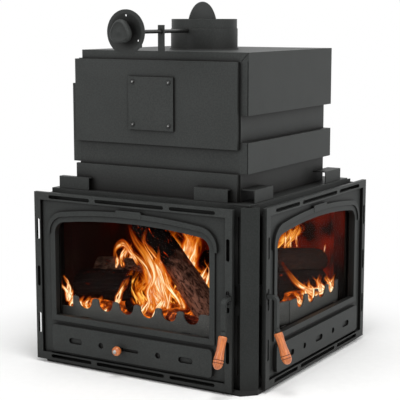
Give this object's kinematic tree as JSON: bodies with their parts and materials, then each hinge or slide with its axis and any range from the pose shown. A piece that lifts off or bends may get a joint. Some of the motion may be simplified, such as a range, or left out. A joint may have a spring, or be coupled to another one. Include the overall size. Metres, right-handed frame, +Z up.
{
  "type": "boiler fireplace insert",
  "caption": "Corner fireplace insert with a water boiler on its firebox, arched glass doors on two sides, lever latches, an air slider and a flue damper.",
  "frame": {"origin": "centre of the square base, on its underside", "axes": "+Z up; the front door faces -Y and the side door faces +X"},
  "size_m": [0.83, 0.8945, 1.089],
  "materials": {
    "black_steel": "matt stove paint",
    "black_iron": "matt black casting",
    "bare_steel": "bare steel",
    "wood": "turned and oiled",
    "stove_glass": "clear heat-proof glass",
    "seal_rope": "grey glass-fibre rope",
    "firebrick": "fired clay"
  },
  "bodies": {
    "insert": {"base_tray": "black_steel", "firebox_shell": "black_steel", "front_door_seat": "black_steel", "side_door_seat": "black_steel", "top_plate": "black_steel", "hearth_floor": "black_steel", "ash_housing": "black_steel", "ash_pan": "black_steel", "corner_post": "black_steel", "front_frame": "black_steel", "side_frame": "black_steel", "frame_brackets": "black_steel", "boiler_body": "black_steel", "water_tubes": "black_steel", "smoke_baffle": "black_steel", "front_jacket": "black_steel", "cleaning_cover": "black_steel", "neck_plate": "black_steel", "left_jacket": "black_steel", "lower_side_jacket": "black_steel", "upper_side_jacket": "black_steel", "roof_jacket": "black_steel", "rear_jacket": "black_steel", "neck_angles": "black_steel", "flue_collar": "black_steel", "damper_standard": "black_steel", "hinge_lugs": "black_steel", "latch_bearings": "black_steel", "cover_screws": "black_steel", "grate": "black_iron", "log_fence": "black_iron", "damper_rosette": "black_iron", "water_sockets": "bare_steel", "sensor_socket": "bare_steel", "cover_gasket": "seal_rope", "firebricks": "firebrick"},
    "damper": {"damper_shaft": "black_steel", "damper_disc": "black_steel", "damper_knob": "black_iron", "damper_stop_arm": "black_steel"},
    "front_door": {"front_door": "black_iron", "front_glass": "stove_glass", "front_glass_seal": "seal_rope", "front_rope_seal": "seal_rope", "front_hinge_pins": "bare_steel", "front_glass_clips": "bare_steel"},
    "side_door": {"side_door": "black_iron", "side_glass": "stove_glass", "side_glass_seal": "seal_rope", "side_rope_seal": "seal_rope", "side_hinge_pins": "bare_steel", "side_glass_clips": "bare_steel", "side_air_plate": "black_steel"},
    "air_slider": {"air_plate": "black_steel", "slider_knob": "wood"},
    "front_latch": {"front_latch_lever": "black_steel", "front_latch_grip": "wood"},
    "side_latch": {"side_latch_lever": "black_steel", "side_latch_grip": "wood"}
  },
  "joints": [
    {"name": "front_door_hinge", "type": "hinge", "parent": "insert", "child": "front_door", "pos_m": [-0.342, -0.351, 0.268], "axis": [0, 0, -1], "range_deg": [0, 90]},
    {"name": "side_door_hinge", "type": "hinge", "parent": "insert", "child": "side_door", "pos_m": [0.351, 0.342, 0.268], "axis": [0, 0, 1], "range_deg": [0, 90]},
    {"name": "air_slide", "type": "slide", "parent": "front_door", "child": "air_slider", "axis": [1, 0, 0], "range_m": [0, 0.056]},
    {"name": "front_latch_turn", "type": "hinge", "parent": "insert", "child": "front_latch", "pos_m": [0.287, -0.38, 0.279], "axis": [0, 1, 0], "range_deg": [0, 75]},
    {"name": "side_latch_turn", "type": "hinge", "parent": "insert", "child": "side_latch", "pos_m": [0.38, -0.287, 0.279], "axis": [1, 0, 0], "range_deg": [0, 75]},
    {"name": "damper_turn", "type": "hinge", "parent": "insert", "child": "damper", "pos_m": [0.026, -0.058, 1.004], "axis": [0, 1, 0], "range_deg": [0, 90]}
  ]
}
